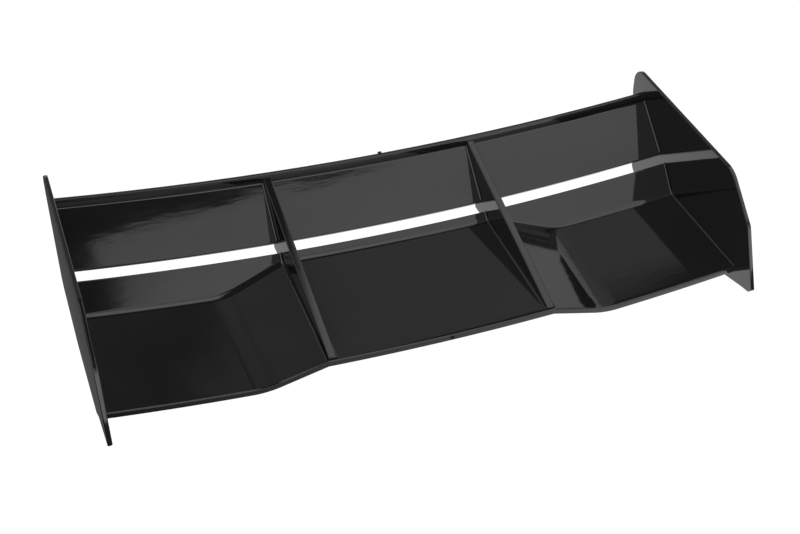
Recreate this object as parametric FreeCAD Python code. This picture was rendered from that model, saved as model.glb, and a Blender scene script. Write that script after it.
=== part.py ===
"""One-piece moulded rear wing of a 1:8 radio-controlled buggy, as the walls it is made of.

Millimetres. +X across the span, +Y from the leading edge to the trailing edge, +Z up.
Dimensions are given from mid-span and the front tips of the end plates. The finished
wing is then moved so that its origin is the centre of its bounding box's base, on the
surface that the end plates stand on. Every panel sags in an arch towards mid-span.
"""
import FreeCAD, Part
import math
import os

from FreeCAD import Vector

# Overall sizes
HALF_SPAN = 95.0            # centre to the outer face of an end plate
PLATE_THICK = 1.25          # end plate wall
WALL = 1.6                  # deck, kick and flap wall
HALF_INSIDE = HALF_SPAN - PLATE_THICK

# Section through the panels where they meet an end plate: (y, z) of the top surface
NOSE = (9.3, 2.0)           # top corner of the leading edge
CREASE = (46.8, 3.4)        # bend from deck to kick strip
KICK_TOP = (53.6, 10.8)     # front edge of the slot
FLAP_FRONT = (56.55, 12.3)  # rear edge of the slot
LIP_FOOT = (70.5, 23.95)    # bend from flap to trailing lip
LIP_HEIGHT = 2.65
LIP_LEAN = 0.45             # how far the lip's top edge stands behind its foot
LIP_THICK = 1.25
NOSE_DEPTH = 1.4            # chordwise depth of the rounded nose rim
NOSE_WALL = 2.05            # the rim is a little thicker than the deck
NOSE_ROUND = 0.45
CREASE_ROUND = 3.0          # inside radius of the bend from deck to kick strip
EDGE_ROUND = 0.35           # on the two edges of the slot
LIP_ROUND = 0.3
ARC_STEPS = 4               # flats that stand for each rounded corner

# Arch: how far mid-span lies below the ends, at the nose and at the lip
ARCH_NOSE = 6.3
ARCH_LIP = 5.05

# Raised centre platform, between the two fences, and the ramps beside it
PLATFORM_RISE = 5.4
RAMP_CORNER_FRONT = 51.0    # |x| of the corner between ramp and outer deck, at the nose
RAMP_CORNER_REAR = 52.6     # the same, at the crease
RAMP_BEND = 4.0             # the corner is rounded from this far before it to this far after it

# Fences
FENCE_X = 32.65             # |x| of a fence's mid-plane
FENCE_THICK = 2.25
FENCE_FRONT_Y = 9.95
FENCE_FRONT_HEIGHT = 0.8    # above the nose rim at its front end
FENCE_REAR_HEIGHT = 1.45    # above the flap, where it runs into the trailing lip
GUSSET_LOW_Y = 61.0         # under the slot the fence runs on as a gusset: end of its level edge
GUSSET_REAR_Y = 65.0        # and where it runs out under the flap

# Side outline of an end plate: (y, z, corner radius)
PLATE_OUTLINE = [
    (0.0, 0.0, 0.0),
    (8.3, 17.6, 0.0),
    (21.2, 29.15, 8.6),
    (79.0, 32.3, 4.2),
    (78.4, 24.0, 0.0),
    (71.3, -2.9, 4.5),
    (49.6, -8.3, 14.0),
    (20.6, -8.3, 3.2),
    (15.2, -4.55, 3.0),
    (4.5, -2.1, 0.0),
    (1.4, -1.6, 0.0),
]

# Stubs left by the mould gates: width, depth, height, and where they are along the span
GATE_NUB = (1.1, 0.8, 0.5)
LIP_NUB_X = 3.3
NOSE_NUB_X = 2.3


def arch(y):
    return ARCH_NOSE + (ARCH_LIP - ARCH_NOSE) * (y - NOSE[0]) / (LIP_FOOT[0] - NOSE[0])


def sag(x, y):
    return -arch(y) * (1 - (x / HALF_INSIDE) ** 2)


def lerp(a, b, t):
    return a + (b - a) * t


class Rail:
    """A spanwise edge: a quadratic curve through an arch, at a chordwise place."""

    def __init__(self, start, middle, end):
        self.poles = [Vector(start), Vector(middle), Vector(end)]

    def edge(self):
        curve = Part.BezierCurve()
        curve.setPoles(self.poles)
        return curve.toShape()

    def shifted(self, dy, dz):
        return Rail(*[pole + Vector(0, dy, dz) for pole in self.poles])

    def at(self, t):
        a, b, c = self.poles
        return a * (1 - t) ** 2 + b * (2 * t * (1 - t)) + c * t ** 2


def arch_rail(x0, x1, y, z, rise=0.0):
    z0 = z + sag(x0, y) + rise
    z1 = z + sag(x1, y) + rise
    slope = 2 * arch(y) * x0 / HALF_INSIDE ** 2
    zm = z0 + slope * (x1 - x0) / 2
    return Rail((x0, y, z0), ((x0 + x1) / 2, y, zm), (x1, y, z1))


def ramp_rails(corner, y, z, climb=0.0):
    """Flat of the ramp from the fence's outer face, then its bend into the outer deck.

    climb moves the ramp's top back in y.
    """
    x0 = FENCE_X + FENCE_THICK / 2
    foot = corner + RAMP_BEND
    slope = 2 * arch(y) * foot / HALF_INSIDE ** 2
    end = Vector(foot, y, z + sag(foot, y))
    turn = Vector(corner, y, end.z - slope * RAMP_BEND)
    top = Vector(x0, y + climb, z + sag(x0, y) + PLATFORM_RISE)
    start = turn + (top - turn) * (RAMP_BEND / (corner - x0))
    return Rail(top, (top + start) / 2, start), Rail(start, turn, end)


def line(a, b):
    return Part.LineSegment(a, b).toShape()


def end_face(points):
    """Flat face through the corners, or a ruled one where four of them are twisted."""
    a, b, c, d = points[:4]
    normal = (b - a).cross(c - a)
    twisted = abs((d - a).dot(normal)) > 1e-6 * normal.Length
    if len(points) == 4 and twisted:
        return Part.makeRuledSurface(line(a, b), line(d, c))
    return Part.Face(Part.makePolygon(points + [a]))


def rounded(corners):
    """Section corners (y, z, radius) with each rounded one split into short flats."""
    points = []
    count = len(corners)
    for i in range(count):
        y, z, radius = corners[i]
        here = Vector(0, y, z)
        if radius == 0:
            points.append(here)
            continue
        a = (Vector(0, *corners[i - 1][:2]) - here).normalize()
        b = (Vector(0, *corners[(i + 1) % count][:2]) - here).normalize()
        half = a.getAngle(b) / 2
        bisector = (a + b).normalize()
        centre = here + bisector * (radius / math.sin(half))
        turn = math.pi / 2 - half
        across = (b - a).normalize()
        for k in range(ARC_STEPS + 1):
            swing = lerp(-turn, turn, k / ARC_STEPS)
            points.append(centre + (across * math.sin(swing) - bisector * math.cos(swing)) * radius)
    return [(p.y, p.z) for p in points]


def prism(rails):
    """Solid whose section is a polygon; each corner runs along its own rail."""
    faces = []
    count = len(rails)
    for i in range(count):
        faces.append(Part.makeRuledSurface(rails[i].edge(), rails[(i + 1) % count].edge()))
    for t in (0, 1):
        faces.append(end_face([rail.at(t) for rail in rails]))
    shell = Part.makeShell(faces)
    shell.sewShape()
    solid = Part.makeSolid(shell)
    if solid.Volume < 0:
        solid.reverse()
    return solid


def mirrored(shape):
    return shape.mirror(Vector(0, 0, 0), Vector(1, 0, 0))


def fused(shapes):
    body = shapes[0]
    for shape in shapes[1:]:
        body = body.fuse(shape)
    return body.removeSplitter().Solids[0]


# Chordwise geometry shared by the panels

DECK_ANGLE = math.atan2(CREASE[1] - NOSE[1], CREASE[0] - NOSE[0])
KICK_ANGLE = math.atan2(KICK_TOP[1] - CREASE[1], KICK_TOP[0] - CREASE[0])
FLAP_ANGLE = math.atan2(LIP_FOOT[1] - FLAP_FRONT[1], LIP_FOOT[0] - FLAP_FRONT[0])
RIM_Y = NOSE[0] + NOSE_DEPTH
RIM_Z = NOSE[1] + NOSE_DEPTH * math.tan(DECK_ANGLE)
BEND = KICK_ANGLE - DECK_ANGLE
BEND_START = CREASE_ROUND * math.tan(BEND / 2)      # deck that the bend takes up
BEND_DY = -BEND_START * math.cos(DECK_ANGLE)
BEND_DZ = -BEND_START * math.sin(DECK_ANGLE)
PLATFORM_CREASE_Y = CREASE[0] + PLATFORM_RISE / math.tan(KICK_ANGLE)
FENCE_IN = FENCE_X - FENCE_THICK / 2
FENCE_OUT = FENCE_X + FENCE_THICK / 2
FOOT_FRONT = RAMP_CORNER_FRONT + RAMP_BEND          # where the outer deck begins, at the nose
FOOT_REAR = RAMP_CORNER_REAR + RAMP_BEND            # and at the crease
KICK_NORMAL = (WALL * math.sin(KICK_ANGLE), -WALL * math.cos(KICK_ANGLE))
FLAP_NORMAL = (WALL * math.sin(FLAP_ANGLE), -WALL * math.cos(FLAP_ANGLE))
FLAP_DROP = WALL / math.cos(FLAP_ANGLE)             # flap wall measured straight down


def with_ramp(make, outer, fronts, rears):
    """Outer panel in one piece with the flat and the bend of the ramp beside it."""
    return fused([outer] + [make(front, rear) for front, rear in zip(fronts, rears)])


def slab(front, crease):
    """Deck panel from the nose rim to the start of the bend."""
    rear = crease.shifted(BEND_DY, BEND_DZ)
    return prism([front, rear, rear.shifted(0, -WALL), front.shifted(0, -WALL)])


def crease_outer():
    return arch_rail(FOOT_REAR, HALF_INSIDE, CREASE[0], CREASE[1])


def crease_ramp():
    return ramp_rails(RAMP_CORNER_REAR, CREASE[0], CREASE[1], PLATFORM_CREASE_Y - CREASE[0])


def crease_centre():
    return arch_rail(-FENCE_IN, FENCE_IN, PLATFORM_CREASE_Y, CREASE[1], PLATFORM_RISE)


def deck_outer():
    return slab(arch_rail(FOOT_FRONT, HALF_INSIDE, RIM_Y, RIM_Z), crease_outer())


def ramp():
    fronts = ramp_rails(RAMP_CORNER_FRONT, RIM_Y, RIM_Z)
    return fused([slab(front, crease) for front, crease in zip(fronts, crease_ramp())])


def deck_centre():
    return slab(arch_rail(-FENCE_IN, FENCE_IN, RIM_Y, RIM_Z, PLATFORM_RISE), crease_centre())


def bend_rails(crease, inside):
    """Rails of the bend, from the deck's side to the kick's side."""
    centre_dy = BEND_DY - CREASE_ROUND * math.sin(DECK_ANGLE)
    centre_dz = BEND_DZ + CREASE_ROUND * math.cos(DECK_ANGLE)
    radius = CREASE_ROUND if inside else CREASE_ROUND + WALL
    rails = []
    for k in range(ARC_STEPS + 1):
        angle = lerp(DECK_ANGLE, KICK_ANGLE, k / ARC_STEPS)
        dy = centre_dy + radius * math.sin(angle)
        dz = centre_dz - radius * math.cos(angle)
        rails.append(crease.shifted(dy, dz))
    return rails


def kick_panel(crease, top):
    """Bend and kick strip, with the slot edge rounded above."""
    start = crease.shifted(BEND_DY, BEND_DZ)
    above = bend_rails(crease, True)
    below = bend_rails(crease, False)
    below[0] = start.shifted(0, -WALL)
    along = (math.cos(KICK_ANGLE), math.sin(KICK_ANGLE))
    edge = []
    for k in range(ARC_STEPS + 1):
        angle = lerp(0, math.pi / 2, k / ARC_STEPS)
        back = EDGE_ROUND * (1 - math.sin(angle))
        down = EDGE_ROUND * (1 - math.cos(angle)) / WALL
        dy = -back * along[0] + down * KICK_NORMAL[0]
        dz = -back * along[1] + down * KICK_NORMAL[1]
        edge.append(top.shifted(dy, dz))
    return prism(above + edge + [top.shifted(*KICK_NORMAL)] + below[::-1])


def kick_outer():
    outer = kick_panel(crease_outer(), arch_rail(FOOT_REAR, HALF_INSIDE, *KICK_TOP))
    bend_start = RAMP_CORNER_REAR - RAMP_BEND
    tops = [arch_rail(FENCE_OUT, bend_start, *KICK_TOP),
            arch_rail(bend_start, FOOT_REAR, *KICK_TOP)]
    return with_ramp(kick_panel, outer, crease_ramp(), tops)


def kick_centre():
    return kick_panel(crease_centre(), arch_rail(-FENCE_IN, FENCE_IN, *KICK_TOP))


def section_prism(corners, x0, x1):
    return prism([arch_rail(x0, x1, y, z) for y, z in rounded(corners)])


def flap_panel(x0, x1):
    y, z = FLAP_FRONT
    return section_prism([
        (y, z, EDGE_ROUND),
        (LIP_FOOT[0], LIP_FOOT[1], 0),
        (LIP_FOOT[0], LIP_FOOT[1] - FLAP_DROP, 0),
        (y + FLAP_NORMAL[0], z + FLAP_NORMAL[1], 0),
    ], x0, x1)


def gate_nub(x, y, z):
    w, d, h = GATE_NUB
    return Part.makeBox(w, d, h, Vector(x - w / 2, y - d / 2, z - h / 2))


def trailing_lip():
    y, z = LIP_FOOT
    low = z - FLAP_DROP
    top_y = y + LIP_LEAN
    body = section_prism([
        (y, z, 0),
        (top_y, z + LIP_HEIGHT, LIP_ROUND),
        (top_y + LIP_THICK, z + LIP_HEIGHT, LIP_ROUND),
        (y + LIP_THICK, low + LIP_THICK * math.tan(FLAP_ANGLE), 0),
        (y, low, 0),
    ], -HALF_INSIDE, HALF_INSIDE)
    nub = gate_nub(LIP_NUB_X, top_y + LIP_THICK, z + LIP_HEIGHT - ARCH_LIP)
    return fused([body, nub])


def nose_strip(top_front, top_rear):
    """Front strip of the deck with a rounded leading edge."""
    low_rear = top_rear.shifted(0, -NOSE_WALL)
    low_front = top_front.shifted(0, -NOSE_WALL)
    body = prism([top_front, top_rear, low_rear, low_front])
    long_edges = []
    for edge in body.Edges:
        ends = [v.Point for v in edge.Vertexes]
        at_front = all(abs(p.y - NOSE[0]) < 0.01 for p in ends)
        if at_front and abs(ends[0].x - ends[1].x) > 1:
            long_edges.append(edge)
    return body.makeFillet(NOSE_ROUND, long_edges)


def nose_outer():
    outer = nose_strip(arch_rail(FOOT_FRONT, HALF_INSIDE, NOSE[0], NOSE[1]),
                       arch_rail(FOOT_FRONT, HALF_INSIDE, RIM_Y, RIM_Z))
    return with_ramp(nose_strip, outer, ramp_rails(RAMP_CORNER_FRONT, NOSE[0], NOSE[1]),
                     ramp_rails(RAMP_CORNER_FRONT, RIM_Y, RIM_Z))


def nose_centre():
    strip = nose_strip(arch_rail(-FENCE_OUT, FENCE_OUT, NOSE[0], NOSE[1], PLATFORM_RISE),
                       arch_rail(-FENCE_OUT, FENCE_OUT, RIM_Y, RIM_Z, PLATFORM_RISE))
    z = NOSE[1] + sag(NOSE_NUB_X, NOSE[0]) + PLATFORM_RISE - NOSE_WALL / 2
    return fused([strip, gate_nub(NOSE_NUB_X, NOSE[0], z)])


def at_fence(y, z, rise=0.0):
    return (y, z + sag(FENCE_X, y) + rise)


def plate_between(points, x0, thickness):
    corners = [Vector(x0, y, z) for y, z in points]
    face = Part.Face(Part.makePolygon(corners + [corners[0]]))
    return face.extrude(Vector(thickness, 0, 0))


def fence():
    """Upright wall that divides the panels, and under the slot the gusset that ties them."""
    lean = LIP_LEAN * FENCE_REAR_HEIGHT / LIP_HEIGHT
    under_z = LIP_FOOT[1] + (GUSSET_REAR_Y - LIP_FOOT[0]) * math.tan(FLAP_ANGLE) - FLAP_DROP
    front_z = NOSE[1] + (FENCE_FRONT_Y - NOSE[0]) * math.tan(DECK_ANGLE)
    low = at_fence(PLATFORM_CREASE_Y + BEND_DY, CREASE[1] + BEND_DZ - WALL, PLATFORM_RISE)
    outline = [
        at_fence(FENCE_FRONT_Y, front_z, PLATFORM_RISE),
        at_fence(FENCE_FRONT_Y, front_z + FENCE_FRONT_HEIGHT, PLATFORM_RISE),
        at_fence(LIP_FOOT[0] + lean, LIP_FOOT[1] + FENCE_REAR_HEIGHT),
        at_fence(*LIP_FOOT),
        at_fence(LIP_FOOT[0], LIP_FOOT[1] - FLAP_DROP),
        at_fence(GUSSET_REAR_Y, under_z),
        (GUSSET_LOW_Y, low[1]),
        low,
        at_fence(RIM_Y, RIM_Z - WALL, PLATFORM_RISE),
        at_fence(RIM_Y, RIM_Z, PLATFORM_RISE),
    ]
    return plate_between(outline, FENCE_IN, FENCE_THICK)


def rounded_outline(corners, x):
    """Closed wire of straight lines with an arc at each corner that has a radius."""
    count = len(corners)
    stops = []
    for i in range(count):
        y, z, radius = corners[i]
        here = Vector(x, y, z)
        if radius == 0:
            stops.append((here, here, here))
            continue
        before = Vector(x, corners[i - 1][0], corners[i - 1][1])
        after = Vector(x, corners[(i + 1) % count][0], corners[(i + 1) % count][1])
        a = (before - here).normalize()
        b = (after - here).normalize()
        half = a.getAngle(b) / 2
        cut = radius / math.tan(half)
        centre = here + (a + b).normalize() * (radius / math.sin(half))
        mid = centre + (here - centre).normalize() * radius
        stops.append((here + a * cut, mid, here + b * cut))
    edges = []
    for i in range(count):
        start, mid, end = stops[i]
        if (start - end).Length > 0.001:
            edges.append(Part.Arc(start, mid, end).toShape())
        following = stops[(i + 1) % count][0]
        if (end - following).Length > 0.001:
            edges.append(Part.LineSegment(end, following).toShape())
    return Part.Wire(Part.__sortEdges__(edges))


def end_plate():
    face = Part.Face(rounded_outline(PLATE_OUTLINE, HALF_INSIDE))
    return face.extrude(Vector(PLATE_THICK, 0, 0))


def build():
    nodes = {
        "deck_centre": deck_centre(),
        "kick_centre": kick_centre(),
        "nose_centre": nose_centre(),
        "flap_centre": flap_panel(-FENCE_IN, FENCE_IN),
        "trailing_lip": trailing_lip(),
    }
    right_side = {
        "deck": deck_outer(),
        "ramp": ramp(),
        "kick": kick_outer(),
        "nose": nose_outer(),
        "flap": flap_panel(FENCE_OUT, HALF_INSIDE),
        "fence": fence(),
        "end_plate": end_plate(),
    }
    for name, shape in right_side.items():
        nodes[name + "_right"] = shape
        nodes[name + "_left"] = mirrored(shape)
    return nodes


os.makedirs("parts", exist_ok=True)
wing = build()
whole = Part.makeCompound(list(wing.values())).BoundBox
origin = Vector(0, (whole.YMin + whole.YMax) / 2, whole.ZMin)
print("origin moved to", origin)
for node_name, node_shape in wing.items():
    node_shape.translate(-origin)
    node_shape.exportStep("parts/" + node_name + ".step")
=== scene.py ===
"""Studio scene of the glossy black moulded rear wing, on a bright pale floor."""

import math

import bpy
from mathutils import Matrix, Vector
from mathutils.bvhtree import BVHTree


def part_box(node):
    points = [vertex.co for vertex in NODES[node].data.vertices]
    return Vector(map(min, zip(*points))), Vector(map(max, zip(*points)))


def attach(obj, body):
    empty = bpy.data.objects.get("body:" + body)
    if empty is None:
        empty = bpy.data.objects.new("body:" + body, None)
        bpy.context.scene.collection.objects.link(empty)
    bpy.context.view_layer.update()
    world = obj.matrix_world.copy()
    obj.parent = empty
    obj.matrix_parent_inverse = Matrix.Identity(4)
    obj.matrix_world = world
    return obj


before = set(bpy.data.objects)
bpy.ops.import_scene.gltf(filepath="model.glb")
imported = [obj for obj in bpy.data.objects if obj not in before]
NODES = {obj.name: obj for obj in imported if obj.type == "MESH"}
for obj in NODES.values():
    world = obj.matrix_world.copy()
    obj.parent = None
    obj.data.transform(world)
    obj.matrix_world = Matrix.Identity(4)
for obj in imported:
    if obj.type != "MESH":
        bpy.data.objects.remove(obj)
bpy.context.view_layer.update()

MM = 0.001


# ---------------------------------------------------------------- materials

def new_material(name):
    material = bpy.data.materials.new(name)
    material.use_nodes = True
    tree = material.node_tree
    tree.nodes.clear()
    return material, tree


def add_node(tree, kind, **values):
    node = tree.nodes.new(kind)
    for key, value in values.items():
        if key in node.inputs:
            node.inputs[key].default_value = value
        else:
            setattr(node, key, value)
    return node


def noise(tree, vector, scale, detail):
    node = add_node(tree, "ShaderNodeTexNoise", Scale=scale, Detail=detail, Roughness=0.5)
    tree.links.new(vector, node.inputs["Vector"])
    return node.outputs["Fac"]


def remap(tree, value, low, high):
    node = add_node(tree, "ShaderNodeMapRange")
    tree.links.new(value, node.inputs["Value"])
    node.inputs["To Min"].default_value = low
    node.inputs["To Max"].default_value = high
    return node.outputs["Result"]


def bump(tree, height, distance, normal=None):
    node = add_node(tree, "ShaderNodeBump", Strength=1.0, Distance=distance)
    tree.links.new(height, node.inputs["Height"])
    if normal is not None:
        tree.links.new(normal, node.inputs["Normal"])
    return node.outputs["Normal"]


# Black nylon: shade and roughness drift between two values, and three bump layers lie on each other.
# A pattern is (noise scale per metre, detail); a depth is in metres.
NYLON_IOR = 1.53
SHADE_PATTERN = (45, 3)
SHADE_DARK = (0.0035, 0.0035, 0.0038, 1)
SHADE_LIGHT = (0.0058, 0.0058, 0.0061, 1)
ROUGH_PATTERN = (220, 4)
ROUGHNESS = (0.03, 0.06)
SINK_PATTERN = (28, 1)              # shallow sink of the cooling walls
SINK_DEPTH = 0.12 * MM
FLOW_PATTERN = (260, 3)             # flow marks, drawn out along the span
FLOW_DEPTH = 0.009 * MM
FLOW_STRETCH = (0.25, 1.0, 1.0)
PEEL_PATTERN = (1400, 2)            # fine orange peel
PEEL_DEPTH = 0.0004 * MM


def black_nylon():
    """Gloss black moulded nylon with sink, flow marks, fine orange peel and uneven gloss."""
    material, tree = new_material("gloss_black_nylon")
    where = add_node(tree, "ShaderNodeTexCoord").outputs["Object"]
    shader = add_node(tree, "ShaderNodeBsdfPrincipled", IOR=NYLON_IOR)
    output = add_node(tree, "ShaderNodeOutputMaterial")
    tree.links.new(shader.outputs["BSDF"], output.inputs["Surface"])

    shade = add_node(tree, "ShaderNodeValToRGB")
    shade.color_ramp.elements[0].color = SHADE_DARK
    shade.color_ramp.elements[1].color = SHADE_LIGHT
    tree.links.new(noise(tree, where, *SHADE_PATTERN), shade.inputs["Fac"])
    tree.links.new(shade.outputs["Color"], shader.inputs["Base Color"])

    rough = remap(tree, noise(tree, where, *ROUGH_PATTERN), *ROUGHNESS)
    tree.links.new(rough, shader.inputs["Roughness"])

    sink = bump(tree, noise(tree, where, *SINK_PATTERN), SINK_DEPTH)
    stretch = add_node(tree, "ShaderNodeMapping", Scale=FLOW_STRETCH)
    tree.links.new(where, stretch.inputs["Vector"])
    flow = bump(tree, noise(tree, stretch.outputs["Vector"], *FLOW_PATTERN), FLOW_DEPTH, sink)
    peel = bump(tree, noise(tree, where, *PEEL_PATTERN), PEEL_DEPTH, flow)
    tree.links.new(peel, shader.inputs["Normal"])
    return material


# What reflections see of the floor: painted light and painted shade in its glow, bright on the key
# light's side and falling off to the other
FLOOR_DIM = {"x": -0.1045, "level": 0.03}
FLOOR_BRIGHT = {"x": 0.10, "level": 1.5}
FLOOR_SEEN = 1.05           # what the camera sees: plain white


def pale_floor():
    """Pale sweep that the camera sees as plain white; reflections see a glow with painted light that
    falls off into painted shade.
    """
    material, tree = new_material("pale_sweep")
    path = add_node(tree, "ShaderNodeLightPath")
    seen = add_node(tree, "ShaderNodeEmission", Strength=FLOOR_SEEN)
    reflected = add_node(tree, "ShaderNodeEmission")
    place = add_node(tree, "ShaderNodeSeparateXYZ")
    tree.links.new(add_node(tree, "ShaderNodeNewGeometry").outputs["Position"], place.inputs[0])
    # painted light and painted shade: the glow that reflections see fades along X
    falloff = remap(tree, place.outputs["X"], FLOOR_DIM["level"], FLOOR_BRIGHT["level"])
    falloff.node.inputs["From Min"].default_value = FLOOR_DIM["x"]
    falloff.node.inputs["From Max"].default_value = FLOOR_BRIGHT["x"]
    tree.links.new(falloff, reflected.inputs["Strength"])
    mix = add_node(tree, "ShaderNodeMixShader")
    tree.links.new(path.outputs["Is Camera Ray"], mix.inputs[0])
    tree.links.new(reflected.outputs["Emission"], mix.inputs[1])
    tree.links.new(seen.outputs["Emission"], mix.inputs[2])
    output = add_node(tree, "ShaderNodeOutputMaterial")
    tree.links.new(mix.outputs["Shader"], output.inputs["Surface"])
    return material


# ---------------------------------------------------------------- carried-over nodes

WELD_GAP = 0.001 * MM               # points closer than this become one
FLAT_ANGLE = math.radians(0.2)      # faces that meet at less than this become one flat
CREASE_ANGLE = math.radians(30)     # sharper edges than this stay sharp
RIM_ANGLE = math.radians(35)        # sharper edges than this are rounded on plates and fences
RIM_RADIUS = 0.3 * MM
RIM_SEGMENTS = 4
RIMMED = ("end_plate", "fence")


def add_modifier(piece, name, kind, **values):
    modifier = piece.modifiers.new(name, kind)
    for key, value in values.items():
        setattr(modifier, key, value)


def finish_node(node, material, rimmed):
    """Give a CAD node its plastic, soft bends and, where it is rimmed, rounded edges."""
    node.data.materials.clear()
    node.data.materials.append(material)
    node.data.shade_smooth()
    add_modifier(node, "weld", "WELD", merge_threshold=WELD_GAP)
    add_modifier(node, "flats", "DECIMATE", decimate_type="DISSOLVE", angle_limit=FLAT_ANGLE)
    if rimmed:
        add_modifier(node, "rim", "BEVEL", width=RIM_RADIUS, segments=RIM_SEGMENTS,
                     limit_method="ANGLE", angle_limit=RIM_ANGLE)
    else:
        add_modifier(node, "creases", "EDGE_SPLIT", split_angle=CREASE_ANGLE)
    add_modifier(node, "normals", "WEIGHTED_NORMAL", mode="FACE_AREA", weight=100)


# ---------------------------------------------------------------- coves between walls

COVE_STEPS = 6
FENCE_COVE = 0.7 * MM
PLATE_COVE = 0.6 * MM
LIP_COVE = 0.4 * MM
BURIED = 0.05 * MM          # how far a cove's hidden corner reaches into the walls
WALL_COVE_PITCH = 0.5 * MM  # between sections along a fence or an end plate
LIP_COVE_PITCH = 2.0 * MM
COVE_START = 0.2 * MM       # where a fence's cove starts, behind its front end
NOSE_ROUND = 0.5 * MM       # rounding of the leading edge, where no cove starts
COVE_CREASE = math.radians(35)      # sharper edges of a cove stay sharp
ABOVE_ALL = 1.0             # height from which the skin is looked for
SKIN_FACING = 0.3           # least upward part of the normal of a skin that counts
STEEPEST_SKIN = 1.5         # slope past which a cove stops
PANELS = ("deck", "ramp", "kick", "nose", "flap")


def panel_tree():
    """Search tree of all the panels' surfaces, for finding the height of the skin."""
    points, faces = [], []
    for name, node in NODES.items():
        if not name.startswith(PANELS):
            continue
        first = len(points)
        points.extend(node.matrix_world @ vertex.co for vertex in node.data.vertices)
        faces.extend([first + index for index in face.vertices] for face in node.data.polygons)
    return BVHTree.FromPolygons(points, faces)


def skin_height(tree, x, y):
    """Height of the upper skin at a place, or None over the slot."""
    hit, normal, _, _ = tree.ray_cast(Vector((x, y, ABOVE_ALL)), Vector((0, 0, -1)))
    return hit.z if hit and normal.z > SKIN_FACING else None


def cove_section(tree, x, y, out, radius):
    """Points of a concave quarter round from the wall to the skin, then its hidden corner."""
    near = skin_height(tree, x + out[0] * BURIED, y + out[1] * BURIED)
    far = skin_height(tree, x + out[0] * radius, y + out[1] * radius)
    if near is None or far is None:
        return None
    slope = (far - near) / (radius - BURIED)
    if abs(slope) > STEEPEST_SKIN:
        return None
    section = []
    for step in range(COVE_STEPS + 1):
        angle = math.radians(90) * step / COVE_STEPS
        away = radius * (1 - math.cos(angle))
        up = radius * (1 - math.sin(angle))
        section.append(Vector((x + out[0] * away, y + out[1] * away, near + up + slope * away)))
    section.append(Vector((x + out[0] * radius, y + out[1] * radius, far - BURIED)))
    section.append(Vector((x - out[0] * BURIED, y - out[1] * BURIED, near - BURIED)))
    section.append(Vector((x - out[0] * BURIED, y - out[1] * BURIED, near + radius)))
    return section


def add_piece(name, points, faces, material):
    mesh = bpy.data.meshes.new(name)
    mesh.from_pydata(points, [], faces)
    mesh.validate()
    mesh.shade_smooth()
    mesh.materials.append(material)
    piece = bpy.data.objects.new(name, mesh)
    bpy.context.scene.collection.objects.link(piece)
    add_modifier(piece, "creases", "EDGE_SPLIT", split_angle=COVE_CREASE)
    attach(piece, "root")


def add_cove(tree, name, places, out, radius, material):
    """Concave fillet along the places; a gap in the skin below them ends one and starts another."""
    runs = [[]]
    for x, y in places:
        section = cove_section(tree, x, y, out, radius)
        if section:
            runs[-1].append(section)
        elif runs[-1]:
            runs.append([])
    for number, run in enumerate([run for run in runs if len(run) > 1]):
        count = len(run[0])
        points = [point for section in run for point in section]
        faces = [[count * (i + di) + (j + dj) % count for di, dj in ((0, 0), (0, 1), (1, 1), (1, 0))]
                 for i in range(len(run) - 1) for j in range(count)]
        faces.append(list(range(count))[::-1])
        faces.append(list(range(len(points) - count, len(points))))
        add_piece(name + "_" + str(number + 1), points, faces, material)


def steps_between(start, end, pitch):
    count = max(2, math.ceil(abs(end - start) / pitch) + 1)
    return [start + (end - start) * i / (count - 1) for i in range(count)]


def build_coves(material):
    tree = panel_tree()
    lip_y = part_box("trailing_lip")[0][1]
    for side, name in ((-1, "left"), (1, "right")):
        low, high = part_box("fence_" + name)
        along = steps_between(low[1] + COVE_START, lip_y, WALL_COVE_PITCH)
        add_cove(tree, "cove_fence_" + name + "_west", [(low[0], y) for y in along],
                 (-1, 0), FENCE_COVE, material)
        add_cove(tree, "cove_fence_" + name + "_east", [(high[0], y) for y in along],
                 (1, 0), FENCE_COVE, material)
        low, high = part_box("end_plate_" + name)
        inner = high[0] if side < 0 else low[0]
        nose_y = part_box("nose_" + name)[0][1]
        along = steps_between(nose_y + NOSE_ROUND, lip_y, WALL_COVE_PITCH)
        add_cove(tree, "cove_plate_" + name, [(inner, y) for y in along],
                 (-side, 0), PLATE_COVE, material)
    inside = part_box("end_plate_right")[0][0]
    for name, start, end in (("left", -inside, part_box("fence_left")[0][0]),
                             ("centre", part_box("fence_left")[1][0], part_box("fence_right")[0][0]),
                             ("right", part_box("fence_right")[1][0], inside)):
        across = steps_between(start, end, LIP_COVE_PITCH)
        add_cove(tree, "cove_lip_" + name, [(x, lip_y) for x in across],
                 (0, -1), LIP_COVE, material)


# ---------------------------------------------------------------- stage

def math_node(tree, operation, first, second):
    node = add_node(tree, "ShaderNodeMath", operation=operation)
    for index, value in enumerate((first, second)):
        if isinstance(value, bpy.types.NodeSocket):
            tree.links.new(value, node.inputs[index])
        else:
            node.inputs[index].default_value = value
    return node.outputs["Value"]


def soft_step(tree, value, start, end):
    """0 below start, 1 above end, smooth between."""
    node = add_node(tree, "ShaderNodeMapRange", interpolation_type="SMOOTHSTEP")
    tree.links.new(value, node.inputs["Value"])
    node.inputs["From Min"].default_value = start
    node.inputs["From Max"].default_value = end
    return node.outputs["Result"]


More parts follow.
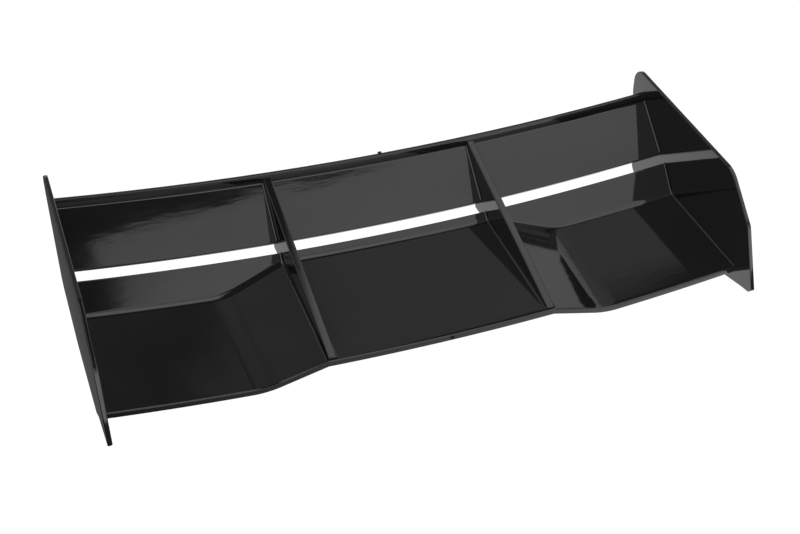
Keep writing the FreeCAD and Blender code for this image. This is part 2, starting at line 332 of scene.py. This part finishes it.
# The studio's lights in slope units: metres sideways (+X) and backwards (+Y) for each metre up.
# Each light is lit where side * weight + back * weight passes an offset, for every one of its edges.
# An edge is (side weight, back weight, offset, softness).
LIGHTS = {
    "front_box": {"level": 1.75, "edges": [(1, 0.14, 0.182, 0.003), (-0.09, -1, 0.482, 0.002),
                                           (-1, 0, -1.6, 0.1), (0, 1, -1.7, 0.1)]},
    "top_box": {"level": 1.75, "edges": [(1, 0, 0.345, 0.006), (0, -1, -0.47, 0.05),
                                         (-1, 0, -1.1, 0.1), (0, 1, -0.60, 0.05)]},
    "top_box_left": {"level": 2.0, "edges": [(1, 0, 0.16, 0.03), (1, -1, -0.05, 0.07),
                                             (0, 1, -0.44, 0.02), (-1, 0, -0.4, 0.1)]},
    "side_box": {"level": 1.9, "edges": [(-1, 0, 0.20, 0.02), (1, 0, -1.6, 0.1),
                                         (0, -1, -0.47, 0.05), (0, 1, -1.7, 0.1)]},
    "back_glow": {"level": 0.50, "edges": [(1, 0, 0.375, 0.050), (-1, 0, -1.20, 0.1),
                                           (0, 1, 0.755, 0.035), (0, -1, -1.40, 0.1)]},
    "back_glow_middle": {"level": 0.38, "edges": [(-1, 0, -0.34, 0.12), (1, 0, -0.60, 0.1),
                                                  (0, 1, 0.70, 0.05), (0, -1, -1.60, 0.1)]},
    "back_glow_left": {"level": 0.8, "edges": [(-1, 0, 0.35, 0.05), (1, 0, -0.80, 0.1),
                                               (0, 1, 0.60, 0.1), (0, -1, -1.15, 0.1)]},
    "left_wall": {"level": 0.55, "edges": [(-1, 0, 0.80, 0.15), (0, 1, 0.40, 0.1)]},
    "front_low": {"level": 3.0, "edges": [(0, -1, 1.90, 0.2), (0, 1, -5.0, 0.6)]},
}
# Back wall against the sine of the height angle: bright low down, dark above
WALL = [(0.0, 1.0), (0.545, 1.0), (0.575, 0.07), (1.0, 0.07)]
AMBIENT = 0.13              # least brightness of any direction
FRONT_WALL = 0.2            # share of the back wall's brightness on the side that faces the nose
FRONT_TURN = (-0.25, 0.05)  # where, by the direction's Y, the front wall turns into the back wall
LOW_HORIZON = 0.02          # the slopes are worked out as if no direction were flatter than this
UNEVEN_PATTERN = (9, 2)     # noise scale and detail of the lights' unevenness
UNEVEN = (0.72, 1.28)


def light_panel(tree, side, back, light):
    """Brightness of one light at a direction given by its side and back slopes."""
    amount = light["level"]
    for side_weight, back_weight, offset, softness in light["edges"]:
        along = math_node(tree, "ADD", math_node(tree, "MULTIPLY", side, side_weight),
                          math_node(tree, "MULTIPLY", back, back_weight))
        amount = math_node(tree, "MULTIPLY",
                           soft_step(tree, along, offset - softness, offset + softness), amount)
    return amount


def studio_world():
    world = bpy.data.worlds.new("studio")
    world.use_nodes = True
    tree = world.node_tree
    tree.nodes.clear()
    output = add_node(tree, "ShaderNodeOutputWorld")
    sky = add_node(tree, "ShaderNodeBackground")
    tree.links.new(sky.outputs["Background"], output.inputs["Surface"])
    direction = add_node(tree, "ShaderNodeTexCoord").outputs["Generated"]
    split = add_node(tree, "ShaderNodeSeparateXYZ")
    tree.links.new(direction, split.inputs["Vector"])
    x, y, z = split.outputs
    height = math_node(tree, "MAXIMUM", z, LOW_HORIZON)
    side = math_node(tree, "DIVIDE", x, height)
    back = math_node(tree, "DIVIDE", y, height)

    wall = add_node(tree, "ShaderNodeValToRGB")
    elements = wall.color_ramp.elements
    while len(elements) < len(WALL):
        elements.new(0.5)
    for element, (place, level) in zip(elements, WALL):
        element.position = place
        element.color = (level, level, level, 1)
    tree.links.new(z, wall.inputs["Fac"])

    behind = soft_step(tree, y, *FRONT_TURN)
    behind = remap(tree, behind, FRONT_WALL, 1.0)
    total = math_node(tree, "MULTIPLY", wall.outputs["Color"], behind)
    total = math_node(tree, "MAXIMUM", total, AMBIENT)
    for light in LIGHTS.values():
        total = math_node(tree, "MAXIMUM", total, light_panel(tree, side, back, light))
    uneven = remap(tree, noise(tree, direction, *UNEVEN_PATTERN), *UNEVEN)
    total = math_node(tree, "MULTIPLY", total, uneven)
    tree.links.new(total, sky.inputs["Strength"])
    return world


FLOOR_SIZE = 6.0


def build_stage():
    bpy.ops.mesh.primitive_plane_add(size=FLOOR_SIZE)
    floor = bpy.context.object
    floor.name = "floor"
    floor.data.materials.append(pale_floor())
    bpy.context.scene.world = studio_world()


# Metres and degrees; the lens in millimetres
CAMERA_TARGET = (-0.0059, -0.0094, 0.020)
CAMERA_AZIMUTH = 22.51
CAMERA_ELEVATION = 38.77
CAMERA_ROLL = 2.48
CAMERA_DISTANCE = 0.355
CAMERA_LENS = 56.68


def build_camera():
    data = bpy.data.cameras.new("camera")
    data.lens = CAMERA_LENS
    data.clip_start = 0.01
    camera = bpy.data.objects.new("camera", data)
    azimuth = math.radians(CAMERA_AZIMUTH)
    elevation = math.radians(CAMERA_ELEVATION)
    look = Vector((math.sin(azimuth) * math.cos(elevation),
                   math.cos(azimuth) * math.cos(elevation),
                   -math.sin(elevation)))
    camera.location = Vector(CAMERA_TARGET) - look * CAMERA_DISTANCE
    turn = look.to_track_quat("-Z", "Y").to_matrix()
    roll = math.radians(CAMERA_ROLL)
    side, up, back = turn.col
    turned = turn.copy()
    turned.col[0] = side * math.cos(roll) + up * math.sin(roll)
    turned.col[1] = up * math.cos(roll) - side * math.sin(roll)
    turned.col[2] = back
    camera.rotation_euler = turned.to_euler()
    bpy.context.scene.collection.objects.link(camera)
    bpy.context.scene.camera = camera


nylon = black_nylon()
for name, node in NODES.items():
    finish_node(node, nylon, name.startswith(RIMMED))

build_coves(nylon)
build_stage()
build_camera()
bpy.context.scene.view_settings.view_transform = "Standard"
